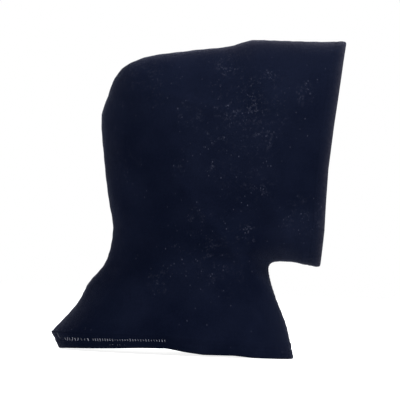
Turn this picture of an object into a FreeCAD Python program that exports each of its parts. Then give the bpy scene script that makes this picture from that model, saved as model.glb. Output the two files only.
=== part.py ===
import FreeCAD, Part
import os
import Sketcher

# Knitted hood balaclava, opened out as on a head and standing on its neck hem. Millimetres.
# +X is the way the face looks, +Y the wearer's left, +Z up. The origin is on the floor, under the middle.
#
# The hood is two mirrored side panels. They meet on the centre plane along the crown seam, which runs
# from the brow over the crown and down the back, and along the throat seam, which runs from the chin
# down the front. Every section of the hood is an oval whose long axis joins one seam to the other.

doc = FreeCAD.newDocument("balaclava")
dims = doc.addObject("Spreadsheet::Sheet", "dims")

SIZES = [
    ("overall_length", 300, "rear of the neck hem to the brow corner of the face opening"),
    ("overall_height", 339, "neck hem to brow corner"),
    ("wall", 2, "thickness of one layer of knit"),
    ("seam_gap", 0.2, "clear space between the two panels on the centre plane"),
    ("allowance", 7, "depth of the two seam allowances that stand inside the hood"),
    ("hem_clear", 0.3, "clear space between the turned layer of a hem and a seam's needle thread"),
    ("thread", 0.5, "thickness of a line of thread"),
    ("thread_gap", 0.2, "clear space between a thread and the knit"),
    ("seam_tuck", 0.1, "share of the neck hem's depth that the seam threads stop short of its fold"),
    ("thread_end_gap", 1, "how far the thread inside a hem stops short of the seam threads"),
    ("face_stitch_start", 0.08, "share of the face hem's depth from its cut edge to its stitching"),
    ("face_stitch_end", 0.30, "share of the face hem's depth from its cut edge past its stitching"),
    ("neck_stitch_start", 0.32, "share of the neck hem's depth from its cut edge to its stitching"),
    ("neck_stitch_end", 0.56, "share of the neck hem's depth from its cut edge past its stitching"),
]

# Each section: throat seam point (x, z) and crown seam point (x, z), as shares of the overall length
# and height, and half of the hood's width there in millimetres.
SECTIONS = [
    ("neck_rim", 0.361, 0.000, -0.459, 0.000, 86),
    ("neck_hem_line", 0.348, 0.050, -0.500, 0.054, 92),
    ("bib", 0.327, 0.112, -0.412, 0.148, 84),
    ("shoulder", 0.291, 0.182, -0.374, 0.213, 73),
    ("lower_neck", 0.273, 0.224, -0.319, 0.279, 64),
    ("neck", 0.262, 0.260, -0.299, 0.378, 60),
    ("upper_neck", 0.259, 0.279, -0.318, 0.471, 66),
    ("nape", 0.265, 0.293, -0.339, 0.590, 76),
    ("occiput", 0.281, 0.300, -0.356, 0.731, 83),
    ("crown_rear", 0.299, 0.302, -0.320, 0.852, 86),
    ("crown_top", 0.317, 0.302, -0.240, 0.914, 87),
    ("crown_mid", 0.334, 0.302, -0.049, 0.953, 86),
    ("crown_front", 0.350, 0.301, 0.085, 0.970, 85),
    ("brow_swell", 0.365, 0.299, 0.178, 0.994, 84),
    ("forehead", 0.381, 0.296, 0.260, 0.993, 82),
    ("face_hem_line", 0.399, 0.295, 0.457, 0.998, 79),
    ("face_rim", 0.441, 0.291, 0.500, 1.000, 76),
]

row = 1
for alias, amount, note in SIZES:
    dims.set(f"A{row}", alias)
    dims.set(f"B{row}", str(amount))
    dims.set(f"C{row}", note)
    dims.setAlias(f"B{row}", alias)
    row += 1
for section, *amounts in SECTIONS:
    for column, (word, amount) in enumerate(zip(("throat_x", "throat_z", "crown_x", "crown_z", "half"), amounts)):
        cell = "BCDEF"[column] + str(row)
        dims.set(cell, str(amount))
        dims.setAlias(cell, f"{section}_{word}")
    dims.set(f"A{row}", section)
    row += 1
doc.recompute()


def at(section):
    """The section's two seam points and half width, as expressions."""
    return {
        "throat_x": f"dims.{section}_throat_x * dims.overall_length",
        "throat_z": f"dims.{section}_throat_z * dims.overall_height",
        "crown_x": f"dims.{section}_crown_x * dims.overall_length",
        "crown_z": f"dims.{section}_crown_z * dims.overall_height",
        "half": f"dims.{section}_half",
    }


def between(first, second, share):
    """A section part of the way from one section to another."""
    start, end = at(first), at(second)
    return {word: f"({start[word]}) + (({end[word]}) - ({start[word]})) * {share}" for word in start}


def midway(spots, index):
    """The section half-way from one to the next, on a smooth curve through their neighbours."""
    last = len(spots) - 2
    if index == 0:
        shares = {0: 0.375, 1: 0.75, 2: -0.125}
    elif index == last:
        shares = {last - 1: -0.125, last: 0.75, last + 1: 0.375}
    else:
        shares = {index - 1: -0.0625, index: 0.5625, index + 1: 0.5625, index + 2: -0.0625}
    terms = {word: [f"{share} * {spots[place][word]}" for place, share in shares.items()] for word in spots[0]}
    return {word: " + ".join(each) for word, each in terms.items()}


def smoothed(spots):
    """The sections with one more midway between each pair."""
    finer = [spots[0]]
    for index in range(len(spots) - 1):
        finer += [midway(spots, index), spots[index + 1]]
    return finer


def number(expression):
    found = dims.evalExpression(expression.replace("dims.", ""))
    return float(getattr(found, "Value", found))


def half_length(spot):
    """Half of the oval's long axis, from the throat seam to the crown seam."""
    run = f"({spot['crown_x']} - ({spot['throat_x']}))"
    rise = f"({spot['crown_z']} - ({spot['throat_z']}))"
    return f"sqrt({run} ^ 2 + {rise} ^ 2) / 2"


def sketch_on(body, name, spot):
    """A sketch in the plane of a section: its centre is the oval's, its x runs to the crown seam."""
    sketch = body.newObject("Sketcher::SketchObject", name)
    planes = {plane.Role: plane for plane in body.Origin.OriginFeatures}
    sketch.AttachmentSupport = (planes["XY_Plane"], [""])
    sketch.MapMode = "FlatFace"
    turn = FreeCAD.Rotation(FreeCAD.Vector(0, -1, 0), 90)
    sketch.AttachmentOffset = FreeCAD.Placement(FreeCAD.Vector(), turn)
    run = f"({spot['crown_x']} - ({spot['throat_x']}))"
    rise = f"({spot['crown_z']} - ({spot['throat_z']}))"
    sketch.setExpression("AttachmentOffset.Base.x", f"(({spot['crown_x']}) + ({spot['throat_x']})) / 2")
    sketch.setExpression("AttachmentOffset.Base.z", f"(({spot['crown_z']}) + ({spot['throat_z']})) / 2")
    sketch.setExpression("AttachmentOffset.Rotation.Angle", f"atan2({rise}; {run})")
    return sketch


def pin_point(sketch, shape, end, across, along):
    """Hold one end of an edge at two expressions, measured from the oval's centre."""
    for kind, expression in (("DistanceX", across), ("DistanceY", along)):
        held = Sketcher.Constraint(kind, -1, 1, shape, end, number(expression))
        index = sketch.addConstraint(held)
        sketch.setExpression(f"Constraints[{index}]", expression)


def outline(sketch, corners):
    """A closed outline of straight edges through corners, each a pair of expressions."""
    points = [FreeCAD.Vector(number(across), number(along), 0) for across, along in corners]
    ends = points[1:] + points[:1]
    lines = [sketch.addGeometry(Part.LineSegment(*pair)) for pair in zip(points, ends)]
    for line, following in zip(lines, lines[1:] + lines[:1]):
        sketch.addConstraint(Sketcher.Constraint("Coincident", line, 2, following, 1))
    for line, (across, along) in zip(lines, corners):
        pin_point(sketch, line, 1, across, along)


def half_oval(sketch, long_radius, side_radius, height):
    """The half of an oval that lies beyond a height, its radii and ends bound to expressions."""
    long_size, side_size, level = number(long_radius), number(side_radius), number(height)
    flat = long_size >= side_size
    major = FreeCAD.Vector(long_size, 0, 0) if flat else FreeCAD.Vector(0, side_size, 0)
    minor = FreeCAD.Vector(0, side_size, 0) if flat else FreeCAD.Vector(-long_size, 0, 0)
    whole = Part.Ellipse(major, minor, FreeCAD.Vector())
    reach = long_size * (1 - (level / side_size) ** 2) ** 0.5
    start = whole.parameter(FreeCAD.Vector(reach, level, 0))
    end = whole.parameter(FreeCAD.Vector(-reach, level, 0))
    arc = sketch.addGeometry(Part.ArcOfEllipse(whole, start, end))
    sketch.exposeInternalGeometry(arc)
    sketch.addConstraint(Sketcher.Constraint("Coincident", arc, 3, -1, 1))
    sketch.addConstraint(Sketcher.Constraint("Horizontal" if flat else "Vertical", arc + 1))
    radii = (long_radius, side_radius) if flat else (side_radius, long_radius)
    for line, radius in zip((arc + 1, arc + 2), radii):
        index = sketch.addConstraint(Sketcher.Constraint("Distance", line, 2 * number(radius)))
        sketch.setExpression(f"Constraints[{index}]", f"2 * ({radius})")
    for end in (1, 2):
        index = sketch.addConstraint(Sketcher.Constraint("DistanceY", -1, 1, arc, end, level))
        sketch.setExpression(f"Constraints[{index}]", height)
    return arc


def join(sketch, first, first_end, second, second_end):
    sketch.addConstraint(Sketcher.Constraint("Coincident", first, first_end, second, second_end))


def band(sketch, spot, outer, inner, height):
    """A strip between two ovals set in from the hood's outer face, cut square at a height."""
    arcs = []
    for inset in (outer, inner):
        long_radius = f"{half_length(spot)} - ({inset})"
        side_radius = f"{spot['half']} - ({inset})"
        arcs.append(half_oval(sketch, long_radius, side_radius, height))
    for end in (1, 2):
        points = [sketch.getPoint(arc, end) for arc in arcs]
        line = sketch.addGeometry(Part.LineSegment(*points))
        join(sketch, line, 1, arcs[0], end)
        join(sketch, line, 2, arcs[1], end)


def panel_section(sketch, spot, layers=1):
    """A wall of knit, one layer or two, with its seam allowances turned in beside the centre plane."""
    near = "dims.seam_gap / 2"
    far = f"{near} + dims.wall"
    outer = half_oval(sketch, half_length(spot), spot["half"], near)
    inner_radii = [f"{radius} - {layers} * dims.wall" for radius in (half_length(spot), spot["half"])]
    inner = half_oval(sketch, *inner_radii, far)
    for end, side in ((1, ""), (2, "-")):
        cut_edge = f"{side}({half_length(spot)} - dims.wall - dims.allowance)"
        corners = [
            sketch.getPoint(outer, end),
            FreeCAD.Vector(number(cut_edge), number(near), 0),
            FreeCAD.Vector(number(cut_edge), number(far), 0),
            sketch.getPoint(inner, end),
        ]
        lines = [sketch.addGeometry(Part.LineSegment(*pair)) for pair in zip(corners, corners[1:])]
        join(sketch, lines[0], 1, outer, end)
        join(sketch, lines[0], 2, lines[1], 1)
        join(sketch, lines[1], 2, lines[2], 1)
        join(sketch, lines[2], 2, inner, end)
        pin_point(sketch, lines[1], 1, cut_edge, near)
        pin_point(sketch, lines[1], 2, cut_edge, far)


def loft(body, name, spots, draw):
    """A solid through one sketch for each section."""
    sketches = []
    for index, spot in enumerate(spots, 1):
        sketch = sketch_on(body, f"{name}_section_{index}", spot)
        draw(sketch, spot)
        sketches.append(sketch)
    doc.recompute()
    solid = body.newObject("PartDesign::AdditiveLoft", name)
    solid.Profile = sketches[0]
    solid.Sections = sketches[1:]
    solid.Ruled = True
    doc.recompute()
    return solid


def new_body(name):
    return doc.addObject("PartDesign::Body", name)


def mirrored(source, name):
    """The same piece on the wearer's other side."""
    copy = doc.addObject("Part::Mirroring", name)
    copy.Source = source
    copy.Base = FreeCAD.Vector(0, 0, 0)
    copy.Normal = FreeCAD.Vector(0, 1, 0)
    return copy


MAIN_FINE = smoothed([at(section) for section, *amounts in SECTIONS[1:-1]])
FACE_HEM = [at("face_hem_line"), at("face_rim")]
NECK_HEM = [at("neck_hem_line"), at("neck_rim")]


def two_layers(sketch, spot):
    panel_section(sketch, spot, layers=2)


def side_panel(name):
    """A shaped half of the hood, cut from one piece of knit: its face and neck edges are turned in."""
    panel = new_body(name)
    loft(panel, "shell", MAIN_FINE, panel_section)
    loft(panel, "face_hem", FACE_HEM, two_layers)
    loft(panel, "neck_hem", NECK_HEM, two_layers)
    return panel


LOWEST_STITCH = between("neck_hem_line", "neck_rim", "(1 - dims.seam_tuck)")
SEAM = [LOWEST_STITCH] + MAIN_FINE + [at("face_rim")]


def seam_levels(seam, spot):
    """Where a seam's parts lie along the oval's long axis, from the cut edge of the allowances up."""
    side = {"crown": "", "throat": "-"}[seam]
    cut_edge = f"({half_length(spot)} - dims.wall - dims.allowance)"
    needle_top = f"({half_length(spot)} - 2 * dims.wall - dims.hem_clear)"
    return {
        "wrap": f"{side}({cut_edge} - dims.thread_gap - dims.thread)",
        "edge": f"{side}({cut_edge} - dims.thread_gap)",
        "looper_top": f"{side}({needle_top} - dims.thread - dims.thread_gap)",
        "needle_low": f"{side}({needle_top} - dims.thread)",
        "needle_top": f"{side}{needle_top}",
    }


MIDDLE = "dims.seam_gap / 2"
THREAD_NEAR = f"{MIDDLE} + dims.wall + dims.thread_gap"
THREAD_FAR = f"{THREAD_NEAR} + dims.thread"


def looper_thread(seam, name):
    """The looper thread that lies flat on one seam allowance and wraps its cut edge, all along a seam."""
    piece = new_body(name)

    def section(sketch, spot):
        level = seam_levels(seam, spot)
        wrap = [(level["wrap"], MIDDLE), (level["wrap"], THREAD_FAR)]
        flat = [(level["looper_top"], THREAD_FAR), (level["looper_top"], THREAD_NEAR)]
        outline(sketch, wrap + flat + [(level["edge"], THREAD_NEAR), (level["edge"], MIDDLE)])

    loft(piece, f"{name}_run", SEAM, section)
    return piece


def needle_thread(seam, name):
    """The straight line of needle thread above the looper thread, all along a seam."""
    piece = new_body(name)

    def section(sketch, spot):
        level = seam_levels(seam, spot)
        low = [(level["needle_low"], THREAD_NEAR), (level["needle_low"], THREAD_FAR)]
        top = [(level["needle_top"], THREAD_FAR), (level["needle_top"], THREAD_NEAR)]
        outline(sketch, low + top)

    loft(piece, f"{name}_run", SEAM, section)
    return piece


def stitching(hem):
    """The two sections that a hem's line of stitching runs between."""
    shares = (f"dims.{hem}_stitch_start", f"dims.{hem}_stitch_end")
    return [between(f"{hem}_hem_line", f"{hem}_rim", share) for share in shares]


def hem_needle_thread(hem, name):
    """The needle thread of a hem: a closed ring of zigzag stitches on the outside of the hood."""
    left = new_body(f"{name}_left_run")

    def section(sketch, spot):
        band(sketch, spot, "-dims.thread_gap - dims.thread", "-dims.thread_gap", "0")

    loft(left, f"{name}_run", stitching(hem), section)
    ring = doc.addObject("Part::MultiFuse", name)
    ring.Shapes = [left, mirrored(left, f"{name}_right_run")]
    return ring


def hem_bobbin_thread(hem, name):
    """The bobbin thread of a hem: it lies inside on the turned layer and stops at the seams."""
    left = new_body(f"{name}_left_run")
    inset = "2 * dims.wall + dims.thread_gap"
    stop = f"{THREAD_FAR} + dims.thread_end_gap"

    def section(sketch, spot):
        band(sketch, spot, inset, f"{inset} + dims.thread", stop)

    loft(left, f"{name}_run", stitching(hem), section)
    both = doc.addObject("Part::Compound", name)
    both.Links = [left, mirrored(left, f"{name}_right_run")]
    return both


left_side_panel = side_panel("left_side_panel")
pieces = [left_side_panel, mirrored(left_side_panel, "right_side_panel")]
for seam in ("crown", "throat"):
    lower = looper_thread(seam, f"{seam}_seam_lower_looper_thread")
    upper = mirrored(lower, f"{seam}_seam_upper_looper_thread")
    pieces += [needle_thread(seam, f"{seam}_seam_needle_thread"), lower, upper]
for hem in ("face", "neck"):
    pieces.append(hem_needle_thread(hem, f"{hem}_hem_needle_thread"))
    pieces.append(hem_bobbin_thread(hem, f"{hem}_hem_bobbin_thread"))

doc.recompute()

for thing in doc.Objects:
    if "Invalid" in thing.State or "Error" in thing.State:
        raise RuntimeError(f"{thing.Name} did not build: {thing.State}")

os.makedirs("parts", exist_ok=True)
for piece in pieces:
    shape = piece.Shape
    if shape.isNull() or not shape.isValid():
        raise RuntimeError(f"{piece.Name} has no valid shape")
    shape.exportStep(f"parts/{piece.Label}.step")
    print(piece.Label, len(shape.Solids), "solid", round(shape.Volume), "mm3", shape.BoundBox)
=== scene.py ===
import math

import bmesh
import bpy
import numpy as np
from mathutils import Matrix, Vector


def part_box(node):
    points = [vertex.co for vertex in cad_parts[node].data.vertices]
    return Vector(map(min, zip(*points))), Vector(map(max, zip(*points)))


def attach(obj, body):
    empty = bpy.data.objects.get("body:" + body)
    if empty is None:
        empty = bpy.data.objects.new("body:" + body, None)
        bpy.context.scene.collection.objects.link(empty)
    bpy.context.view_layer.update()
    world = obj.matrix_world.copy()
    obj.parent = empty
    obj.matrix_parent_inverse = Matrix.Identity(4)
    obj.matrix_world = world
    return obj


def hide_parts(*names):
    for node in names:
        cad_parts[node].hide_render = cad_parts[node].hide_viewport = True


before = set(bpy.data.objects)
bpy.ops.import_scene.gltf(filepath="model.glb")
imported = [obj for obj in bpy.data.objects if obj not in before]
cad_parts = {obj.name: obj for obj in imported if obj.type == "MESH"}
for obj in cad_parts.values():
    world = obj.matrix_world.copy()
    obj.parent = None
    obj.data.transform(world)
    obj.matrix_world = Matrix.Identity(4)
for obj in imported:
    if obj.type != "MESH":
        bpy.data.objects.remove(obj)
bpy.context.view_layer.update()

# The studio: a wide sheet of pale paper under the hood, soft white light all round it, and a long
# lens level with the middle of the hood, which looks at the side of it with the face to the right.
panel_low, panel_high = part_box("left_side_panel")
hood_length = panel_high.x - panel_low.x
hood_height = panel_high.z - panel_low.z
hood_middle = (panel_high.x + panel_low.x) / 2
VIEW_WIDTH = 0.4244
SENSOR_WIDTH = 36
CAMERA_DISTANCE = 6.0
CAMERA_ROLL = math.radians(-2.468)
# Where the camera aims, as shares of the hood's length ahead of its middle and of its height.
AIM_AHEAD, AIM_HEIGHT = 0.0057, 0.484
camera_data = bpy.data.cameras.new("camera")
camera_data.sensor_width = SENSOR_WIDTH
camera_data.lens = SENSOR_WIDTH * CAMERA_DISTANCE / VIEW_WIDTH
camera_data.clip_start = 0.1
camera_data.clip_end = 60
camera = bpy.data.objects.new("camera", camera_data)
aim = Vector((hood_middle + hood_length * AIM_AHEAD, 0, hood_height * AIM_HEIGHT))
facing = Matrix.Rotation(math.radians(90), 4, "X")
roll = Matrix.Rotation(CAMERA_ROLL, 4, "Y")
camera.matrix_world = Matrix.Translation(aim + Vector((0, -CAMERA_DISTANCE, 0))) @ roll @ facing
bpy.context.scene.collection.objects.link(camera)
bpy.context.scene.camera = camera
bpy.context.scene.view_settings.view_transform = "Standard"

world = bpy.data.worlds.new("studio_light")
world.use_nodes = True
sky = world.node_tree.nodes["Background"]
sky.inputs["Color"].default_value = (1, 1, 1, 1)
sky.inputs["Strength"].default_value = 1.0
bpy.context.scene.world = world

# The softboxes: their width in metres, and the place and the watts of each.
SOFTBOX_SIZE = 1.0
KEY_PLACE, KEY_WATTS = (1.6, -0.9, 1.5), 55
TOP_PLACE, TOP_WATTS = (-0.1, 0.1, 2.1), 31


def soft_lamp(name, place, power):
    """A square softbox that faces the middle of the hood."""
    lamp_data = bpy.data.lights.new(name, "AREA")
    lamp_data.shape = "SQUARE"
    lamp_data.size = SOFTBOX_SIZE
    lamp_data.energy = power
    lamp = bpy.data.objects.new(name, lamp_data)
    lamp.location = place
    lamp.rotation_euler = (aim - Vector(place)).to_track_quat("-Z", "Y").to_euler()
    bpy.context.scene.collection.objects.link(lamp)


soft_lamp("key_softbox", KEY_PLACE, KEY_WATTS)
soft_lamp("top_softbox", TOP_PLACE, TOP_WATTS)

PAPER_REACH = 4.0
PAPER_SIDES = 96
PAPER_GREY = (0.6, 0.6, 0.6, 1)
PAPER_GLOW = 0.86
paper_mesh = bmesh.new()
bmesh.ops.create_circle(paper_mesh, cap_ends=True, segments=PAPER_SIDES, radius=PAPER_REACH)
paper_data = bpy.data.meshes.new("studio_paper")
paper_mesh.to_mesh(paper_data)
paper_mesh.free()
paper = bpy.data.objects.new("studio_paper", paper_data)
bpy.context.scene.collection.objects.link(paper)
paper_finish = bpy.data.materials.new("pale_paper")
paper_finish.use_nodes = True
paper_surface = paper_finish.node_tree.nodes["Principled BSDF"]
paper_surface.inputs["Base Color"].default_value = PAPER_GREY
paper_surface.inputs["Emission Color"].default_value = (1, 1, 1, 1)
paper_surface.inputs["Emission Strength"].default_value = PAPER_GLOW
paper_surface.inputs["Roughness"].default_value = 1.0
paper_surface.inputs["Specular IOR Level"].default_value = 0.0
paper_data.materials.append(paper_finish)

# The two side panels: each is one piece of fine navy jersey, cut to the hood's profile. It is sewn
# to the other along the crown and the throat, with the allowances turned in, and its face and neck
# edges are folded to the inside and stitched down as hems.

# Each section of the hood, as shares of the box: throat seam (x, z), crown seam (x, z), half width.
SECTIONS = [
    (0.361, 0.000, -0.468, 0.000, 0.935),
    (0.348, 0.050, -0.500, 0.054, 1.000),
    (0.327, 0.112, -0.412, 0.148, 0.913),
    (0.291, 0.182, -0.374, 0.213, 0.793),
    (0.273, 0.224, -0.319, 0.279, 0.696),
    (0.262, 0.260, -0.299, 0.378, 0.652),
    (0.259, 0.279, -0.318, 0.471, 0.717),
    (0.265, 0.293, -0.339, 0.590, 0.826),
    (0.281, 0.300, -0.356, 0.731, 0.902),
    (0.290, 0.301, -0.336, 0.799, 0.920),
    (0.299, 0.302, -0.317, 0.850, 0.935),
    (0.308, 0.302, -0.284, 0.890, 0.942),
    (0.317, 0.302, -0.240, 0.913, 0.946),
    (0.334, 0.302, -0.049, 0.950, 0.935),
    (0.350, 0.301, 0.085, 0.968, 0.924),
    (0.365, 0.299, 0.178, 0.992, 0.913),
    (0.381, 0.296, 0.260, 0.993, 0.891),
    (0.399, 0.295, 0.457, 0.998, 0.859),
    (0.441, 0.291, 0.500, 1.000, 0.826),
]
# In metres: the knit's thickness, half the seam's gap, the radius of its turn and of a hem's fold,
# how deep the allowances stand in the hood and under a hem, over what length they taper from one to
# the other, how deep each hem is, and how far its stitching is from its fold.
WALL = 0.0018
SEAM_HALF_GAP = 0.0001
SEAM_TURN = 0.0021
FOLD = 0.0019
ALLOWANCE_DEPTH = 0.0088
TUCKED_DEPTH = 0.0017
ALLOWANCE_TAPER = 0.006
FACE_HEM = 0.0128
NECK_HEM = 0.0185
FACE_STITCH = 0.0108
NECK_STITCH = 0.0117

scale = np.array([hood_length, hood_height, hood_length, hood_height, panel_high.y])
offset = np.array([hood_middle, panel_low.z, hood_middle, panel_low.z, 0])
sections = np.array(SECTIONS) * scale + offset
throat_steps = np.linalg.norm(np.diff(sections[:, 0:2], axis=0), axis=1)
crown_steps = np.linalg.norm(np.diff(sections[:, 2:4], axis=0), axis=1)
levels = np.concatenate([[0], np.cumsum((throat_steps + crown_steps) / 2)])
NECK_RIM, FACE_RIM = 0.0, levels[-1]
# How much steeper a curve may run through a knot than from it to the next one.
STEEPEST = 2.5


def smooth_between(knots, values, places):
    """Values on a smooth curve through the given ones, which stand at uneven knots."""
    steps = np.diff(knots)[:, None]
    slopes = np.diff(values, axis=0) / steps
    bends = np.empty_like(values)
    bends[1:-1] = (slopes[:-1] * steps[1:] + slopes[1:] * steps[:-1]) / (steps[:-1] + steps[1:])
    steepest = STEEPEST * np.minimum(abs(slopes[:-1]), abs(slopes[1:]))
    steepest *= slopes[:-1] * slopes[1:] > 0
    bends[1:-1] = np.clip(bends[1:-1], -steepest, steepest)
    bends[0], bends[-1] = slopes[0], slopes[-1]
    first = np.clip(np.searchsorted(knots, places) - 1, 0, len(knots) - 2)
    step = steps[first]
    share = (places - knots[first])[:, None] / step
    start, end = values[first], values[first + 1]
    rest = share * share * (3 - 2 * share)
    curve = start + (end - start) * rest
    curve += step * bends[first] * share * (1 - share) ** 2
    curve -= step * bends[first + 1] * (1 - share) * share ** 2
    return curve


def soft_step(low, high, amount):
    share = np.clip((amount - low) / (high - low), 0, 1)
    return share * share * (3 - 2 * share)


def bump_at(amount, middle, width):
    return np.exp(-(((amount - middle) / width) ** 2))


# The brim's dip to the back, by share of the way from the throat to the crown, and the neck edge's
# lift, by x in metres. Then the soft ridges in the knit: two ends (x, z), a height and a width.
BRIM_DIP = (
    (0, 0.222, 0.33, 0.447, 0.60, 0.79, 1),
    (0, 0.0006, 0.0026, 0.0044, 0.0036, 0.0016, 0),
)
BRIM_DIP_REACH = 0.045
NECK_LIFT = (
    (-0.15, -0.115, -0.08, -0.055, -0.027, -0.0075, 0.012, 0.045, 0.065, 0.12),
    (0, 0.0018, 0.0038, 0.0054, 0.0062, 0.0034, 0.0014, 0.0018, 0.0002, 0),
)
NECK_LIFT_REACH = 0.022
RIDGES = [
    ((-0.045, 0.2745), (0.040, 0.2540), 0.0016, 0.006),
    ((-0.025, 0.1835), (0.047, 0.1015), 0.0022, 0.007),
    ((0.047, 0.1015), (0.080, 0.0711), 0.0018, 0.006),
    ((-0.037, 0.0767), (-0.070, 0.0640), 0.0018, 0.006),
    ((0.055, 0.1900), (0.100, 0.1250), 0.0012, 0.010),
    ((-0.090, 0.1250), (-0.030, 0.1450), 0.0012, 0.009),
]
RIDGE_ENDS = (-0.15, 0.2)
LEFT_RIDGES = 0.7
# Slow random waves: a direction, a wavelength in metres, a phase, and a height in millimetres.
WAVE_COUNT = 16
SEED = 7
chance = np.random.default_rng(SEED)
WAVES = [
    (
        chance.normal(size=3), chance.uniform(0.045, 0.13),
        chance.uniform(0, math.tau), chance.uniform(0.15, 0.45),
    )
    for wave in range(WAVE_COUNT)
]
MILLIMETRE = 0.001
WAVES_AT_SEAM = 0.25
OPEN_FROM, OPEN_TO = 0.004, 0.035
# How far the knit sinks at a seam and at the stitching, how it puckers there, and the step at a
# hem: heights, then pitches and widths, in metres, and how much and how fast the puckers wander.
SEAM_SINK, SEAM_SINK_WIDTH = 0.0006, 0.004
SEAM_PUCKER, SEAM_PUCKER_PITCH = 0.00018, 0.0085
SEAM_PUCKER_PLACE, SEAM_PUCKER_WIDTH = 0.003, 0.006
SEAM_WANDER, SEAM_WANDER_RATE = 2, 60
HEM_STEP = 0.0004
HEM_STEP_END, FOLD_STEP = 0.002, (0.001, 0.004)
FACE_PINCH, NECK_PINCH, PINCH_WIDTH = 0.00015, 0.0005, 0.0013
HEM_PUCKER, HEM_PUCKER_PITCH, HEM_PUCKER_WIDTH = 0.00022, 0.0105, 0.005
HEM_WANDER, HEM_WANDER_RATE = 3, 35


def ridge_height(x, z, start, end, width):
    run = np.array(end) - np.array(start)
    length = np.linalg.norm(run)
    share = ((x - start[0]) * run[0] + (z - start[1]) * run[1]) / length ** 2
    across = np.hypot(x - start[0] - run[0] * share, z - start[1] - run[1] * share)
    ends = soft_step(*RIDGE_ENDS, share) * soft_step(*RIDGE_ENDS, 1 - share)
    return bump_at(across, 0, width) * ends


def section_at(v):
    """The seam points and half width at places v: straight over each hem, smooth in between."""
    found = smooth_between(levels[1:-1], sections[1:-1], np.clip(v, levels[1], levels[-2]))
    for start in (0, len(levels) - 2):
        share = (v - levels[start]) / (levels[start + 1] - levels[start])
        here = (share >= 0) & (share <= 1)
        found[here] = sections[start] + (sections[start + 1] - sections[start]) * share[here, None]
    return found


ANGLE_COUNT = 181


def ring_table(v):
    """The ovals at places v: their centres, arms to the crown seam, half widths and arc lengths."""
    found = section_at(v)
    throat, crown = found[:, 0:2], found[:, 2:4]
    centre, arm = (throat + crown) / 2, (crown - throat) / 2
    reach = np.linalg.norm(arm, axis=1)
    angles = np.linspace(0, math.pi, ANGLE_COUNT)
    along = -np.cos(angles) * reach[:, None]
    across = np.sin(angles) * found[:, 4:5]
    lengths = np.cumsum(np.hypot(np.diff(along), np.diff(across)), axis=1)
    lengths = np.concatenate([np.zeros((len(v), 1)), lengths], axis=1)
    return centre, arm / reach[:, None], reach, found[:, 4], angles, lengths


def ring_length(v):
    return ring_table(v)[5][:, -1]


def swell_at(points, v, s, seam_distance, open_cloth, side):
    """How far the knit stands out from the smooth oval at each point."""
    swell = np.zeros(len(v))
    for direction, wavelength, phase, height in WAVES:
        direction = direction / np.linalg.norm(direction)
        swell += np.sin(points @ direction * math.tau / wavelength + phase) * height * MILLIMETRE
    swell *= WAVES_AT_SEAM + (1 - WAVES_AT_SEAM) * open_cloth
    for start, end, height, width in RIDGES:
        ridge = ridge_height(points[:, 0], points[:, 2], start, end, width)
        swell += ridge * height * (1.0 if side < 0 else LEFT_RIDGES) * open_cloth
    swell -= SEAM_SINK * bump_at(seam_distance, 0, SEAM_SINK_WIDTH)
    wander = SEAM_WANDER * np.sin(v * SEAM_WANDER_RATE)
    pucker = SEAM_PUCKER * np.sin(v * math.tau / SEAM_PUCKER_PITCH + wander)
    swell += pucker * bump_at(seam_distance, SEAM_PUCKER_PLACE, SEAM_PUCKER_WIDTH)
    wander = HEM_WANDER * np.sin(s * HEM_WANDER_RATE)
    pucker = HEM_PUCKER * np.sin(s * math.tau / HEM_PUCKER_PITCH + wander) * open_cloth
    for distance, hem, stitch, pinch in (
        (FACE_RIM - v, FACE_HEM, FACE_STITCH, FACE_PINCH),
        (v - NECK_RIM, NECK_HEM, NECK_STITCH, NECK_PINCH),
    ):
        step = 1 - soft_step(hem, hem + HEM_STEP_END, distance)
        swell += HEM_STEP * step * soft_step(*FOLD_STEP, distance)
        swell -= pinch * bump_at(distance, stitch, PINCH_WIDTH)
        swell += pucker * bump_at(distance, stitch, HEM_PUCKER_WIDTH)
    return swell


def cloth(v, s, side):
    """Points of the hood's outer face: v from the neck rim to the face rim, s along the section
    from the throat seam, both in metres, on the left side (1) or the right (-1)."""
    centre, arm, reach, half, angles, lengths = ring_table(v)
    first = np.clip((lengths < s[:, None]).sum(axis=1) - 1, 0, len(angles) - 2)
    each = np.arange(len(v))
    low, high = lengths[each, first], lengths[each, first + 1]
    angle = angles[first] + (s - low) / (high - low) * (angles[1] - angles[0])
    along, across = -np.cos(angle) * reach, np.sin(angle) * half
    face = np.stack([-np.cos(angle) / reach, np.sin(angle) / half], axis=1)
    face /= np.linalg.norm(face, axis=1)[:, None]
    x, z = centre[:, 0] + arm[:, 0] * along, centre[:, 1] + arm[:, 1] * along
    points = np.stack([x, side * across, z], axis=1)
    outward = [arm[:, 0] * face[:, 0], side * face[:, 1], arm[:, 1] * face[:, 0]]
    seam_distance = np.minimum(s, lengths[:, -1] - s)
    open_cloth = soft_step(OPEN_FROM, OPEN_TO, seam_distance)
    swell = swell_at(points, v, s, seam_distance, open_cloth, side)
    points += np.stack(outward, axis=1) * swell[:, None]
    share = s / lengths[:, -1]
    points[:, 0] -= np.interp(share, *BRIM_DIP) * bump_at(v, FACE_RIM, BRIM_DIP_REACH)
    lift = np.interp(x, *NECK_LIFT) * bump_at(v, NECK_RIM, NECK_LIFT_REACH)
    points[:, 2] += lift * open_cloth
    return points


PROBE = 0.0006


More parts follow.
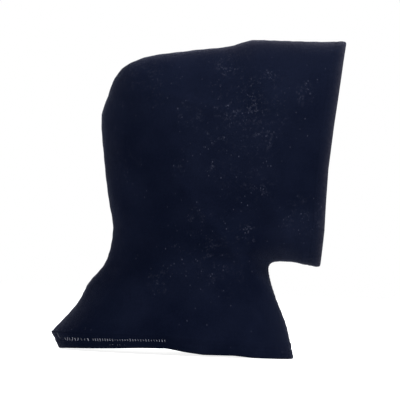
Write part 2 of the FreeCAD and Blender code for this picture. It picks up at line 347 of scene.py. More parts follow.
def cloth_frame(v, s, side):
    """Points of the outer face, the direction into the hood and the one to the face rim."""
    total = ring_length(v)
    s = np.minimum(s, total - SEAM_HALF_GAP)
    points = cloth(v, s, side)
    ahead, behind = np.clip(s + PROBE, 0, total), np.clip(s - PROBE, 0, total)
    around = cloth(v, ahead, side) - cloth(v, behind, side)
    later, earlier = np.clip(v + PROBE, 0, FACE_RIM), np.clip(v - PROBE, 0, FACE_RIM)
    share = s / total
    to_face = cloth(later, share * ring_length(later), side)
    to_face -= cloth(earlier, share * ring_length(earlier), side)
    inward = np.cross(to_face, around) * side
    inward /= np.linalg.norm(inward, axis=1)[:, None]
    to_face -= inward * (inward * to_face).sum(axis=1)[:, None]
    to_face /= np.linalg.norm(to_face, axis=1)[:, None]
    return points, inward, to_face


def spread(start, end, pitch):
    count = max(int(round(abs(end - start) / pitch)), 1)
    return list(np.linspace(start, end, count + 1))


# Rows of the panel from the cut edge of the neck hem to the cut edge of the face hem: each has its
# place v, its turn about the fold (0 outside, half a turn for the layer inside) and which fold.
HALF_TURN = math.pi
FOLD_PARTS = 6
HEM_MARGIN = 0.003
INNER_PITCH, NECK_PITCH, OPEN_PITCH, FACE_PITCH = 0.0017, 0.0012, 0.0023, 0.0011
neck_fold, face_fold = NECK_RIM + FOLD, FACE_RIM - FOLD
neck_end, face_end = NECK_RIM + NECK_HEM + HEM_MARGIN, FACE_RIM - FACE_HEM - HEM_MARGIN
fold_turns = [HALF_TURN * part / FOLD_PARTS for part in range(1, FOLD_PARTS)]
rows = [(v, HALF_TURN, -1) for v in spread(NECK_RIM + NECK_HEM, neck_fold, INNER_PITCH)]
rows += [(neck_fold, turn, -1) for turn in reversed(fold_turns)]
rows += [(v, 0, -1) for v in spread(neck_fold, neck_end, NECK_PITCH)]
rows += [(v, 0, -1) for v in spread(neck_end, face_end, OPEN_PITCH)[1:-1]]
rows += [(v, 0, 1) for v in spread(face_end, face_fold, FACE_PITCH)]
rows += [(face_fold, turn, 1) for turn in fold_turns]
rows += [(v, HALF_TURN, 1) for v in spread(face_fold, FACE_RIM - FACE_HEM, INNER_PITCH)]
row_v, row_turn, row_fold = (np.array(each) for each in zip(*rows))

# Columns beside a seam, from the cut edge of the allowance round the turn on to the open cloth:
# each has its distance from the seam and its depth inside the hood.
ALLOWANCE_PARTS = 4
TURN_PARTS = 6
NEAR_COLUMNS = (0.0033, 0.0048, 0.0068)
OPEN_COLUMNS = 118
edge_columns = [
    (SEAM_HALF_GAP, ALLOWANCE_DEPTH + (SEAM_TURN - ALLOWANCE_DEPTH) * part / ALLOWANCE_PARTS)
    for part in range(ALLOWANCE_PARTS)
]
for part in range(TURN_PARTS + 1):
    turn = HALF_TURN / 2 * part / TURN_PARTS
    away = SEAM_HALF_GAP + SEAM_TURN * (1 - math.cos(turn))
    edge_columns.append((away, SEAM_TURN * (1 - math.sin(turn))))
edge_columns += [(distance, 0) for distance in NEAR_COLUMNS]
column_count = 2 * len(edge_columns) + OPEN_COLUMNS
SEAM_BOW = 0.0005
TUCK_START = 0.0005


def seam_bow(depth):
    """How far both allowances lean to one side at a depth, which keeps the seam shut."""
    return SEAM_BOW * np.sin(math.pi * np.clip(depth / ALLOWANCE_DEPTH, 0, 1))


def column_table(total):
    """The distance s along its section and the depth inside the hood of every point, row by row."""
    near, depths = (np.array(each) for each in zip(*edge_columns))
    s_rows, depth_rows = [], []
    for place, length in zip(row_v, total):
        open_part = np.linspace(near[-1], length - near[-1], OPEN_COLUMNS + 2)[1:-1]
        s_rows.append(np.concatenate([near, open_part, length - near[::-1]]))
        from_hem = min(place - NECK_RIM - NECK_HEM, FACE_RIM - FACE_HEM - place)
        tuck = soft_step(TUCK_START, ALLOWANCE_TAPER, from_hem)
        deepest = TUCKED_DEPTH + (ALLOWANCE_DEPTH - TUCKED_DEPTH) * tuck
        squeezed = depths * np.where(depths <= SEAM_TURN, min(1, deepest / SEAM_TURN), 1)
        squeezed = np.minimum(squeezed, deepest)
        depth_rows.append(np.concatenate([squeezed, np.zeros(OPEN_COLUMNS), squeezed[::-1]]))
    return np.concatenate(s_rows), np.concatenate(depth_rows)


# How much the knit is painted paler, with the reach in metres: painted rim light at the brim,
# rubbing and painted rim light beside the seams, and painted top light twice at the crown, where it
# fades in between two heights.
BRIM_RIM_LIGHT, BRIM_RIM_LIGHT_REACH = 0.68, 0.0030
SEAM_RUB_AND_RIM_LIGHT, SEAM_RUB_AND_RIM_LIGHT_REACH = 0.36, 0.012
CROWN_RIM_LIGHT, CROWN_RIM_LIGHT_REACH = 1.5, 0.0165
CROWN_LIGHT_HAZE, CROWN_LIGHT_HAZE_REACH = 0.12, 0.045
CROWN_RIM_LIGHT_MOST = 0.8
CROWN_LIGHT_HEIGHTS = (0.295, 0.335)


def side_panel(name, side):
    """The sheet of one panel. Its UV is the flat cut, and its solid thickness is a modifier."""
    total = ring_length(row_v)
    s, depth = column_table(total)
    v, total, turn, fold = (
        np.repeat(each, column_count) for each in (row_v, total, row_turn, row_fold)
    )
    points, inward, to_face = cloth_frame(v, s, side)
    lever = (FOLD - depth)[:, None]
    swing = to_face * (fold * np.sin(turn))[:, None] - inward * np.cos(turn)[:, None]
    points += inward * FOLD + lever * swing
    from_crown = total - s
    from_seam = np.minimum(s, from_crown)
    lean = seam_bow(depth) * np.cos(turn) * np.where(from_crown < s, 1, -1)
    shut = np.clip(depth / SEAM_TURN, 0, 1)
    points[:, 1] += shut * (side * from_seam + lean - points[:, 1])

    found = section_at(v)
    flat = found[:, 0:2] + (found[:, 2:4] - found[:, 0:2]) * (s / total)[:, None]
    turned_back = 2 * abs(np.where(fold > 0, FACE_RIM, NECK_RIM) - v) * (turn > HALF_TURN / 2)
    flat[:, 0] += np.where(fold > 0, turned_back, 0)
    flat[:, 1] -= np.where(fold < 0, turned_back, 0)

    from_face = np.where((turn > HALF_TURN / 4) & (fold > 0), 0, face_fold - v)
    # Painted rim light: the knit is painted paler in a narrow band along the face rim.
    rub_and_rim_light = BRIM_RIM_LIGHT * np.exp(-from_face / BRIM_RIM_LIGHT_REACH)
    # Beside both seams the knit is paler from rubbing and from painted rim light where the seams
    # form the outline.
    rub_and_rim_light = np.maximum(rub_and_rim_light, SEAM_RUB_AND_RIM_LIGHT * bump_at(from_seam, 0, SEAM_RUB_AND_RIM_LIGHT_REACH))
    # Painted top light at the crown: a narrow band and a broad haze along the crown seam, shown
    # only high up.
    crown_light = CROWN_RIM_LIGHT * bump_at(from_crown, 0, CROWN_RIM_LIGHT_REACH)
    crown_light += CROWN_LIGHT_HAZE * bump_at(from_crown, 0, CROWN_LIGHT_HAZE_REACH)
    high = soft_step(*CROWN_LIGHT_HEIGHTS, points[:, 2])
    rub_and_rim_light = np.maximum(rub_and_rim_light, high * np.minimum(crown_light, CROWN_RIM_LIGHT_MOST))

    sheet = bmesh.new()
    bmesh.ops.create_grid(
        sheet, x_segments=column_count - 1, y_segments=len(rows) - 1, size=0.5,
    )
    sheet.verts.ensure_lookup_table()
    places = sheet.loops.layers.uv.new("cloth_cut")
    # The per-vertex mask of rubbing and painted rim and top light, read by the knit's shader.
    rub_and_rim_light_layer = sheet.verts.layers.float.new("rub_and_rim_light")
    spot = {}
    for vertex in sheet.verts:
        column = round((vertex.co.x + 0.5) * (column_count - 1))
        row = round((vertex.co.y + 0.5) * (len(rows) - 1))
        spot[vertex.index] = row * column_count + column
    for vertex in sheet.verts:
        vertex.co = points[spot[vertex.index]]
        vertex[rub_and_rim_light_layer] = rub_and_rim_light[spot[vertex.index]]
    for patch in sheet.faces:
        for corner in patch.loops:
            corner[places].uv = flat[spot[corner.vert.index]]
        patch.smooth = True
    sheet.normal_update()
    sheet.faces.ensure_lookup_table()
    middle = sheet.faces[len(sheet.faces) // 2]
    if middle.normal.y * side < 0:
        bmesh.ops.reverse_faces(sheet, faces=sheet.faces)
    data = bpy.data.meshes.new(name)
    sheet.to_mesh(data)
    sheet.free()
    piece = bpy.data.objects.new(name, data)
    bpy.context.scene.collection.objects.link(piece)
    thickness = piece.modifiers.new("knit_thickness", "SOLIDIFY")
    thickness.thickness = WALL
    thickness.offset = -1
    return piece


def add_node(tree, kind, values=None, **settings):
    """A node with its settings, and its inputs set or linked by name or number."""
    made = tree.nodes.new(kind)
    for word, setting in settings.items():
        setattr(made, word, setting)
    for place, value in (values or {}).items():
        if isinstance(value, bpy.types.NodeSocket):
            tree.links.new(value, made.inputs[place])
        else:
            made.inputs[place].default_value = value
    return made


def maths(tree, operation, first, second=0.0, third=0.0):
    values = {0: first, 1: second, 2: third}
    return add_node(tree, "ShaderNodeMath", values, operation=operation).outputs[0]


def ramp(tree, value, low, high, start, end):
    """The value moved from the span low to high on to the span start to end, and held there."""
    values = {0: value, 1: low, 2: high, 3: start, 4: end}
    return add_node(tree, "ShaderNodeMapRange", values).outputs[0]


def noise(tree, place, scale, detail, **more):
    values = {"Vector": place, "Scale": scale, "Detail": detail, **more}
    return add_node(tree, "ShaderNodeTexNoise", values).outputs["Fac"]


def distance_to(tree, place, point):
    values = {0: place, 1: point}
    made = add_node(tree, "ShaderNodeVectorMath", values, operation="DISTANCE")
    return made.outputs["Value"]


def colour_mix(tree, share, first, second):
    """A blend of two colours, each a value or the output of another node."""
    values = {"Factor": share, 6: first, 7: second}
    return add_node(tree, "ShaderNodeMix", values, data_type="RGBA").outputs[2]


def new_finish(name):
    finish = bpy.data.materials.new(name)
    finish.use_nodes = True
    return finish, finish.node_tree, finish.node_tree.nodes["Principled BSDF"]


# The knit's pitches across and along and the drift of its columns, in metres, the slant of the V's
# legs, how many grains of each noise go to a metre, how much each layer stands out, the colours,
# the paler corner at the chin, and the loose fibres at the outline.
WALE = 0.00115
COURSE = 0.00095
WALE_DRIFT = 0.0022
LEG_SLANT = 1.3
NAP_GRAIN, PILE_GRAIN, WORN_GRAIN, DRIFT_GRAIN = 1400.0, 330.0, 22.0, 45.0
SPECK_GRAIN, CURL_GRAIN, CLUMP_GRAIN = 620.0, 430.0, 120.0
LOOP_RELIEF, NAP_RELIEF, PILE_RELIEF = 0.6, 0.6, 0.9
NAVY_DEEP = (0.0018, 0.0028, 0.0080, 1)
# The paler navy of worn patches and of the painted top light.
NAVY_WORN_AND_TOP_LIT = (0.0054, 0.0074, 0.0170, 1)
# The paler colour painted along the rims and the crown as rim light, with some rubbing.
NAVY_RUB_AND_RIM_LIGHT = (0.0270, 0.0270, 0.0370, 1)
CHIN = (0.118, 0, 0.106)
LINT = (0.036, 0.039, 0.060, 1)
SHEEN_TINT = (0.72, 0.76, 1.0, 1)
FUZZ_POWER, FUZZ, LEAST_FUZZ = 8.0, 0.6, 0.05
# Places (x, z) where lint and brighter fibres show, their reach in metres, and how thick they lie.
LINT_SPOTS = [
    (0.023, 0.302, 0.017, 0.40), (0.069, 0.300, 0.015, 0.32), (0.053, 0.266, 0.017, 0.40),
    (0.065, 0.230, 0.019, 0.38), (0.009, 0.197, 0.016, 0.45), (0.067, 0.180, 0.018, 0.34),
    (0.002, 0.147, 0.018, 0.30), (0.052, 0.132, 0.018, 0.38), (0.016, 0.114, 0.020, 0.24),
    (-0.010, 0.113, 0.013, 0.28), (0.106, 0.282, 0.018, 0.32), (-0.013, 0.255, 0.018, 0.36),
    (-0.021, 0.196, 0.014, 0.26), (0.030, 0.258, 0.022, 0.36), (0.018, 0.228, 0.016, 0.28),
    (0.045, 0.258, 0.075, 0.20), (0.050, 0.180, 0.055, 0.14), (0.010, 0.110, 0.060, 0.13),
    (-0.055, 0.285, 0.045, 0.16), (0.110, 0.150, 0.036, 0.20), (-0.037, 0.077, 0.020, 0.24),
    (0.030, 0.085, 0.036, 0.16), (-0.080, 0.200, 0.050, 0.08),
]
SPOT_CORE = 0.2
LINT_EVERYWHERE = 0.015


def knit_loops(tree, body):
    """The height of the knit's columns of small V stitches, from the flat cut."""
    cut = add_node(tree, "ShaderNodeUVMap", uv_map="cloth_cut").outputs["UV"]
    parts = add_node(tree, "ShaderNodeSeparateXYZ", {0: cut})
    drift = maths(tree, "MULTIPLY", noise(tree, body, DRIFT_GRAIN, 2.0), WALE_DRIFT)
    wales = maths(tree, "DIVIDE", maths(tree, "ADD", parts.outputs["X"], drift), WALE)
    courses = maths(tree, "DIVIDE", parts.outputs["Y"], COURSE)
    beside = maths(tree, "PINGPONG", wales, 0.5)
    slant = maths(tree, "ADD", courses, maths(tree, "MULTIPLY", beside, LEG_SLANT))
    leg = maths(tree, "SINE", maths(tree, "MULTIPLY", slant, math.tau))
    leg = maths(tree, "MULTIPLY_ADD", leg, 0.5, 0.5)
    groove = ramp(tree, beside, 0.0, 0.16, 0.0, 1.0)
    centre = ramp(tree, beside, 0.42, 0.5, 1.0, 0.55)
    return maths(tree, "MULTIPLY", maths(tree, "MULTIPLY", leg, groove), centre)


def lint_share(tree, body, flat, pile):
    """How much of each place is covered by lint: scattered specks and short curled fibres."""
    near = None
    for x, z, reach, thick in LINT_SPOTS:
        away = distance_to(tree, flat, (x, 0, z))
        close = ramp(tree, away, reach * SPOT_CORE, reach, thick, 0.0)
        near = close if near is None else maths(tree, "MAXIMUM", near, close)
    patchy = ramp(tree, noise(tree, body, CLUMP_GRAIN, 2.0), 0.42, 0.62, 0.1, 1.0)
    near = maths(tree, "MULTIPLY", maths(tree, "ADD", near, LINT_EVERYWHERE), patchy)
    stretched = {"Vector": body, "Scale": (1.0, 1.0, 0.55)}
    streaks = add_node(tree, "ShaderNodeMapping", stretched).outputs[0]
    specks = add_node(tree, "ShaderNodeTexVoronoi", {"Vector": streaks, "Scale": SPECK_GRAIN})
    dot = ramp(tree, specks.outputs["Distance"], 0.16, 0.40, 1.0, 0.0)
    chosen = add_node(tree, "ShaderNodeSeparateColor", {0: specks.outputs["Color"]})
    kept = maths(tree, "LESS_THAN", chosen.outputs[0], near)
    lint = maths(tree, "MULTIPLY", maths(tree, "MULTIPLY", dot, kept), chosen.outputs[1])
    curls = noise(tree, streaks, CURL_GRAIN, 1.0, Distortion=1.5)
    off_line = maths(tree, "ABSOLUTE", maths(tree, "SUBTRACT", curls, 0.5))
    fibre = ramp(tree, off_line, 0.015, 0.05, 1.0, 0.0)
    fibre = maths(tree, "MULTIPLY", fibre, ramp(tree, near, 0.05, 0.36, 0.0, 0.9))
    fibre = maths(tree, "MULTIPLY", fibre, ramp(tree, pile, 0.48, 0.58, 0.0, 1.0))
    return maths(tree, "MAXIMUM", lint, fibre)


def knit_finish():
    """Brushed navy jersey: columns of small V stitches, a soft nap, edges painted paler as rim
    light and rubbing, painted top light, lint.
    """
    finish, tree, surface = new_finish("navy_jersey")
    body = add_node(tree, "ShaderNodeTexCoord").outputs["Object"]
    loops = knit_loops(tree, body)
    nap = noise(tree, body, NAP_GRAIN, 3.0, Roughness=0.7)
    pile = noise(tree, body, PILE_GRAIN, 3.0)
    height = maths(tree, "MULTIPLY", loops, LOOP_RELIEF)
    height = maths(tree, "ADD", height, maths(tree, "MULTIPLY", nap, NAP_RELIEF))
    height = maths(tree, "ADD", height, maths(tree, "MULTIPLY", pile, PILE_RELIEF))
    values = {"Strength": 0.8, "Distance": 0.0005, "Height": height}
    relief = add_node(tree, "ShaderNodeBump", values)

    # Worn patches at random, painted top light that makes the knit paler towards the top, a paler
    # corner at the chin, and fine flecks on the loops.
    worn_and_top_light = ramp(tree, noise(tree, body, WORN_GRAIN, 3.0), 0.35, 0.7, 0.07, 0.46)
    # Painted top light: the knit is painted darker low down and paler high up.
    level = add_node(tree, "ShaderNodeSeparateXYZ", {0: body}).outputs["Z"]
    worn_and_top_light = maths(tree, "ADD", worn_and_top_light, ramp(tree, level, 0.05, 0.33, -0.12, 0.22))
    flatten = {0: body, 1: (1, 0, 1)}
    flat = add_node(tree, "ShaderNodeVectorMath", flatten, operation="MULTIPLY").outputs[0]
    from_chin = distance_to(tree, flat, CHIN)
    worn_and_top_light = maths(tree, "ADD", worn_and_top_light, ramp(tree, from_chin, 0.005, 0.060, 0.75, 0.0))
    fleck = ramp(tree, nap, 0.4, 0.75, 0.0, 0.8)
    fleck = maths(tree, "MULTIPLY", fleck, maths(tree, "ADD", loops, 0.3))
    navy = colour_mix(tree, maths(tree, "ADD", worn_and_top_light, fleck), NAVY_DEEP, NAVY_WORN_AND_TOP_LIT)
    # Painted rim and top light, with some rubbing: the panels' mask mixes the navy towards a paler
    # lilac grey.
    rub_and_rim_light = add_node(tree, "ShaderNodeAttribute", attribute_name="rub_and_rim_light").outputs["Fac"]
    rub_and_rim_light = maths(tree, "MULTIPLY", rub_and_rim_light, ramp(tree, pile, 0.3, 0.6, 0.4, 1.0))
    navy = colour_mix(tree, rub_and_rim_light, navy, NAVY_RUB_AND_RIM_LIGHT)
    colour = colour_mix(tree, lint_share(tree, body, flat, pile), navy, LINT)
    tree.links.new(colour, surface.inputs["Base Color"])
    tree.links.new(ramp(tree, pile, 0.3, 0.7, 0.82, 1.0), surface.inputs["Roughness"])
    tree.links.new(relief.outputs["Normal"], surface.inputs["Normal"])

    # Loose fibres catch the light at the outline.
    grazing = add_node(tree, "ShaderNodeLayerWeight", {"Blend": 0.5}).outputs["Facing"]
    fuzz = maths(tree, "MULTIPLY", maths(tree, "POWER", grazing, FUZZ_POWER), FUZZ)
    tree.links.new(maths(tree, "ADD", fuzz, LEAST_FUZZ), surface.inputs["Sheen Weight"])
    surface.inputs["Sheen Roughness"].default_value = 0.13
    surface.inputs["Sheen Tint"].default_value = SHEEN_TINT
    surface.inputs["Specular IOR Level"].default_value = 0.0
    return finish


navy_jersey = knit_finish()
for panel_name, node_name, side in (
    ("left_panel_knit", "left_side_panel", 1),
    ("right_panel_knit", "right_side_panel", -1),
):
    panel = side_panel(panel_name, side)
    panel.data.materials.append(navy_jersey)
    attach(panel, "root")
    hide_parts(node_name)


# The sewing thread: fine spun polyester in navy, for the two seams and the face hem, and in a pale
# grey, for the neck hem. Apart from the colour it is the same thread throughout.
FIBRE_GRAIN, UNEVEN_GRAIN, TWIST_GRAIN = 2600.0, 160.0, 700.0


def thread_finish(name, deep, light, shine):
    """Spun thread: slightly uneven colour with a fine twist."""
    finish, tree, surface = new_finish(name)
    body = add_node(tree, "ShaderNodeTexCoord").outputs["Object"]
    fibres, uneven = noise(tree, body, FIBRE_GRAIN, 3.0), noise(tree, body, UNEVEN_GRAIN, 2.0)
    mixed = maths(tree, "MULTIPLY", maths(tree, "ADD", fibres, uneven), 0.5)
    share = ramp(tree, mixed, 0.35, 0.65, 0.0, 1.0)
    tree.links.new(colour_mix(tree, share, deep, light), surface.inputs["Base Color"])
    values = {"Vector": body, "Scale": TWIST_GRAIN, "Distortion": 2.0}
    twist = add_node(tree, "ShaderNodeTexWave", values, bands_direction="DIAGONAL").outputs["Fac"]
    values = {"Strength": 0.5, "Distance": 0.0001, "Height": twist}
    relief = add_node(tree, "ShaderNodeBump", values)
    tree.links.new(relief.outputs["Normal"], surface.inputs["Normal"])
    surface.inputs["Roughness"].default_value = 0.7
    surface.inputs["Specular IOR Level"].default_value = shine
    return finish


# Each thread's deep and light colours, and how much it shines.
NAVY_THREAD = ((0.0016, 0.0022, 0.0060, 1), (0.0045, 0.0055, 0.0130, 1), 0.02)
PALE_THREAD = ((0.15, 0.155, 0.195, 1), (0.33, 0.335, 0.38, 1), 0.2)
navy_thread = thread_finish("navy_thread", *NAVY_THREAD)
pale_thread = thread_finish("pale_thread", *PALE_THREAD)


def thread_piece(name, strands, thickness, finish, node_name):
    """Lines of thread: each strand is a list of points, and the share of its thickness at each."""
    line = bpy.data.curves.new(name, "CURVE")
    line.dimensions = "3D"
    line.bevel_depth = thickness / 2
    line.bevel_resolution = 1
    line.resolution_u = 2
    line.use_fill_caps = True
    for points, shares in strands:
        strand = line.splines.new("NURBS")
        strand.points.add(len(points) - 1)
        for knot, place, share in zip(strand.points, points, shares):
            knot.co = (*place, 1)
            knot.radius = share
        strand.order_u = 3
        strand.use_endpoint_u = True
    line.materials.append(finish)
    piece = bpy.data.objects.new(name, line)
    bpy.context.scene.collection.objects.link(piece)
    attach(piece, "root")
    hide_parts(node_name)


# The crown and throat seams: the panels are overlocked together inside the hood. A needle thread
# runs along the left allowance, and on each side a looper thread zigzags down its allowance and
# wraps the cut edge.
# In metres: the thread's thickness, the stitch pitch, how far the threads are from the seam's
# middle, how far the needle thread sinks at each stitch, and how deep in the hood each runs.
THREAD = 0.00042
STITCH_PITCH = 0.0027
THREAD_SIDE = SEAM_HALF_GAP + WALL + 0.0004
NEEDLE_SINK = 0.0002
NEEDLE_DEPTH = 0.0046
LOOPER_TOP = 0.0052
LOOPER_MIDDLE = 0.0066
LOOPER_EDGE = ALLOWANCE_DEPTH - 0.0003
WRAP_DEPTH = ALLOWANCE_DEPTH + 0.0004
SEAM_PLACES = 1500


def seam_place(seam, v, depth, y):
    """Points beside a seam, at a depth inside the hood and a distance y from its middle."""
    s = np.full(len(v), SEAM_HALF_GAP) if seam == "throat" else ring_length(v) - SEAM_HALF_GAP
    points, inward, to_face = cloth_frame(v, s, 1)
    points += inward * depth[:, None]
    points[:, 1] = y + seam_bow(depth) * (1 if seam == "crown" else -1)
    return points


def stitch_places(seam):
    """Places v one stitch apart along a seam, between the two hems."""
    first, last = NECK_HEM + ALLOWANCE_TAPER, FACE_RIM - FACE_HEM - ALLOWANCE_TAPER
    v = np.linspace(first, last, SEAM_PLACES)
    line = seam_place(seam, v, np.full(len(v), NEEDLE_DEPTH), 0)
    run = np.concatenate([[0], np.cumsum(np.linalg.norm(np.diff(line, axis=0), axis=1))])
    return np.interp(np.arange(0, run[-1], STITCH_PITCH), run, v)


# One looper stitch: how far along the pitch, how deep in the hood, and how far out from the seam.
LOOPER_STITCH = [
    (0.00, LOOPER_TOP, 1.0), (0.10, LOOPER_MIDDLE, 1.04), (0.22, LOOPER_EDGE, 1.0),
    (0.30, WRAP_DEPTH, 0.5), (0.45, WRAP_DEPTH, 0.16), (0.60, WRAP_DEPTH, 0.5),
    (0.68, LOOPER_EDGE, 1.0), (0.84, LOOPER_MIDDLE, 1.04),
]
for seam in ("crown", "throat"):
    places = stitch_places(seam)
    pitches = np.gradient(places)
    needle_v = np.repeat(places, 2)
    needle_v[1::2] += pitches * 0.5
    needle_y = np.tile([THREAD_SIDE, THREAD_SIDE - NEEDLE_SINK], len(places))
    needle = seam_place(seam, needle_v, np.full(len(needle_v), NEEDLE_DEPTH), needle_y)
    thread_piece(
        f"{seam}_seam_needle_stitches", [(needle, np.ones(len(needle)))], THREAD,
        navy_thread, f"{seam}_seam_needle_thread",
    )
    along, depth, out = (np.tile(each, len(places)) for each in zip(*LOOPER_STITCH))
    looper_v = np.repeat(places, len(LOOPER_STITCH))
    looper_v = looper_v + np.repeat(pitches, len(LOOPER_STITCH)) * along
    for looper, side in (("lower", 1), ("upper", -1)):
        points = seam_place(seam, looper_v, depth, side * out * THREAD_SIDE)
        thread_piece(
            f"{seam}_seam_{looper}_looper_stitches", [(points, np.ones(len(points)))], THREAD,
            navy_thread, f"{seam}_seam_{looper}_looper_thread",
        )


# The hem stitches: a zigzag lockstitch right round each opening, through the outer layer and the
# layer turned in, with a needle thread outside and a bobbin thread inside. It is navy at the face
# and pale at the neck.
def hem_ring(v_middle, pitch):
    """Stitch places round an opening: distances s and sides, right side first and then the left."""
    total = ring_length(np.array([v_middle]))[0]
    count = int(total / pitch)
    s = (np.arange(count) + 0.5) * total / count
    return np.concatenate([s, s[::-1]]), np.repeat([-1, 1], count), total / count, total


def hem_place(v, s, sides, height):
    """Points above the cloth by a height, on either side of the hood."""
    points = np.empty((len(v), 3))
    for side in (-1, 1):
        here = sides == side
        found, inward, to_face = cloth_frame(v[here], s[here], side)
        points[here] = found - inward * height[here][:, None]
    return points


# One zigzag stitch: how far along the pitch, and how far across as a share of the whole width.
ZIGZAG = [(-0.5, -0.5), (-0.25, 0.0), (0.0, 0.5), (0.25, 0.0)]
SEAM_CLEAR = 0.0004


def zigzag(v_middle, pitch, half_width, height):
    """A plain zigzag round an opening at one height above the cloth."""
    s, sides, pitch, total = hem_ring(v_middle, pitch)
    along, across = (np.tile(each, len(s)) for each in zip(*ZIGZAG))
    sides = np.repeat(sides, len(ZIGZAG))
    s = np.repeat(s, len(ZIGZAG)) - sides * along * pitch
    s = np.clip(s, SEAM_CLEAR, total - SEAM_CLEAR)
    v = v_middle + 2 * across * half_width
    points = hem_place(v, s, sides, np.full(len(s), height))
    return [(points, np.ones(len(points)))]


# The thread's thickness, and the height of its middle over the outer face of the knit: half sunk
# outside, and under both layers inside.
HEM_THREAD = 0.00040
OUTSIDE = -0.00016
INSIDE = -2 * FOLD - 0.0001
FACE_STITCH_PITCH, FACE_STITCH_HALF = 0.0026, 0.0011
NECK_STITCH_PITCH, NECK_STITCH_HALF = 0.0028, 0.0016
face_line = FACE_RIM - FACE_STITCH
neck_line = NECK_RIM + NECK_STITCH
for layer, height in (("needle", OUTSIDE), ("bobbin", INSIDE)):
    thread_piece(
        f"face_hem_{layer}_stitches",
        zigzag(face_line, FACE_STITCH_PITCH, FACE_STITCH_HALF, height),
        HEM_THREAD, navy_thread, f"face_hem_{layer}_thread",
    )
thread_piece(
    "neck_hem_bobbin_stitches", zigzag(neck_line, NECK_STITCH_PITCH, NECK_STITCH_HALF, INSIDE),
    HEM_THREAD, pale_thread, "neck_hem_bobbin_thread",
)

# The neck thread's zigzag legs lie on the knit at the back corner. From there to under the ear only
# short dashes of it come up between the fibres, and further forward hardly any. Each stitch is a
# row of points: how far along the pitch, how far across, and how far up out of the knit.
SUNK = -0.0009
RISEN = 0.00010
REAR_PITCH = 0.0042
LEG = [(-0.38, -1.0, 0.0), (-0.22, -0.6, 1.0), (0.0, 0.0, 1.0), (0.22, 0.6, 1.0), (0.38, 1.0, 0.0)]
LEG_HALF, LEG_WAVER = 0.0027, 0.25
DASH = [
    (-0.45, -0.9, 0.0), (-0.22, -0.9, 0.0), (-0.12, -0.65, 1.0), (0.0, 0.0, 1.0),
    (0.10, 0.65, 0.9), (0.24, 0.9, 0.0), (0.40, 0.3, 0.0),
]
DASH_HALF, DASH_WAVER = 0.0021, 0.35
# Where the legs start and end and where the dashes fade out, as shares of the hood's length.
LEGS_FROM, LEGS_TO = -0.452, -0.365
FADE_FROM, FADE_TO = -0.102, -0.070
# How far the stitches come up, in slow waves along the hem. Some dashes are lost in the knit.
SHOWN, SHOWN_WAVE, SHOW_PHASE, SHOW_PITCH = 0.90, 0.08, 0.432, 0.1077
KEPT_BEHIND, KEPT_AHEAD, LOST_HEIGHT = 0.90, 0.04, 0.3
# The thread's thickness where it is sunk, and what it gains where it stands out.
SUNK_SHARE, RISEN_GAIN = 0.75, 0.3
s, sides, neck_pitch, neck_total = hem_ring(neck_line, NECK_STITCH_PITCH)
on_line = hem_place(np.full(len(s), neck_line), s, sides, np.zeros(len(s)))
stitch_x = on_line[:, 0] / hood_length


def stitch_strand(places, side, pattern, half_width, proud, waver, tilts):
    """Stitches in a row, on one side of the hood, as the strand's points and thickness shares."""
    along, across, stand = (np.tile(each, len(places)) for each in zip(*pattern))
    size = len(pattern)
    uneven = np.repeat(chance.uniform(1 - waver, 1 + waver, len(places)), size)
    shown = np.repeat(proud, size) * stand
    across = across * half_width * uneven * np.repeat(tilts, size)
    place_s = np.repeat(places, size) - side * along * neck_pitch
    place_s = np.clip(place_s, SEAM_CLEAR, neck_total - SEAM_CLEAR)
    height = SUNK + (RISEN - SUNK) * shown
    points = hem_place(neck_line + across, place_s, np.full(len(place_s), side), height)
    return points, SUNK_SHARE + RISEN_GAIN * shown * uneven


def shown_at(x, jitter):
    """How far the stitches at x, a share of the hood's length, come up out of the knit."""
    return SHOWN + SHOWN_WAVE * np.cos((x + SHOW_PHASE) * math.tau / SHOW_PITCH) + jitter


def stray_loop(middle_v, middle_s, run_v, run_s, side, height, share):
    """A short loose loop of four points, with both ends sunk in the knit."""
    heights = np.array([SUNK, height, height, SUNK])
    v, s = middle_v + np.array(run_v), middle_s + np.array(run_s)
    return hem_place(v, s, np.full(4, side), heights), np.full(4, share)


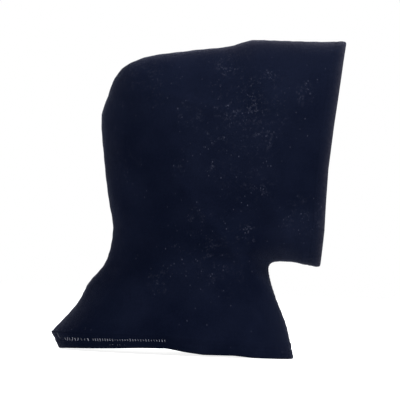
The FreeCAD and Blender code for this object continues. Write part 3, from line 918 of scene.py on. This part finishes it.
# The stray loops: a short second row by the fold, by x and level, and a back-tack near the crown
# seam. Each loop's four points run along v and s, at one height, with the thread's thickness share.
SECOND_ROW = ((-0.29, 0.005), (-0.275, 0.0055), (-0.262, 0.005), (-0.25, 0.0052), (-0.236, 0.005))
SECOND_ROW_RUN = ((-0.0003, 0.0002, 0.0004, -0.0002), (-0.0006, -0.0002, 0.0003, 0.0007))
TACK_LEVELS = (0.0125, 0.0142, 0.0158, 0.0176)
TACK_RUN = ((-0.0010, -0.0004, 0.0005, 0.0011), (-0.0008, -0.0003, 0.0004, 0.0009))
TACK_FROM_CROWN, TACK_SLANT = 0.031, 0.8
ROW_HEIGHT, ROW_SHARE = 0.00002, 0.8
TACK_HEIGHT, TACK_SHARE = 0.00008, 0.9
neck_strands = []
for side in (-1, 1):
    on_side = sides == side
    side_s, side_x = s[on_side], stitch_x[on_side]
    by_x = np.argsort(side_x)
    rear_from, rear_to = np.interp((LEGS_FROM, LEGS_TO), side_x[by_x], side_s[by_x])
    rear = np.arange(rear_to, rear_from, REAR_PITCH)
    rear_x = np.interp(rear, side_s[::-side], side_x[::-side])
    tilts = np.where(np.arange(len(rear)) % 2 == 0, 1.0, -1.0)
    proud = shown_at(rear_x, chance.uniform(-0.05, 0.03, len(rear)))
    neck_strands.append(stitch_strand(rear, side, LEG, LEG_HALF, proud, LEG_WAVER, tilts))
    showing, showing_x = side_s[side_x >= LEGS_TO], side_x[side_x >= LEGS_TO]
    fade = 1 - soft_step(FADE_FROM, FADE_TO, showing_x)
    lost = chance.uniform(0, 1, len(showing))
    proud = shown_at(showing_x, chance.uniform(-0.04, 0.04, len(showing)))
    proud = np.where(lost < KEPT_BEHIND * fade + KEPT_AHEAD, proud, LOST_HEIGHT)
    tilts = np.ones(len(showing))
    neck_strands.append(stitch_strand(showing, side, DASH, DASH_HALF, proud, DASH_WAVER, tilts))
    for x, level in SECOND_ROW:
        middle_s = side_s[np.argmin(abs(side_x - x))]
        loop = stray_loop(level, middle_s, *SECOND_ROW_RUN, side, ROW_HEIGHT, ROW_SHARE)
        neck_strands.append(loop)
    for level in TACK_LEVELS:
        middle_s = neck_total - TACK_FROM_CROWN + (level - TACK_LEVELS[0]) * TACK_SLANT
        loop = stray_loop(level, middle_s, *TACK_RUN, side, TACK_HEIGHT, TACK_SHARE)
        neck_strands.append(loop)
thread_piece(
    "neck_hem_needle_stitches", neck_strands, HEM_THREAD,
    pale_thread, "neck_hem_needle_thread",
)
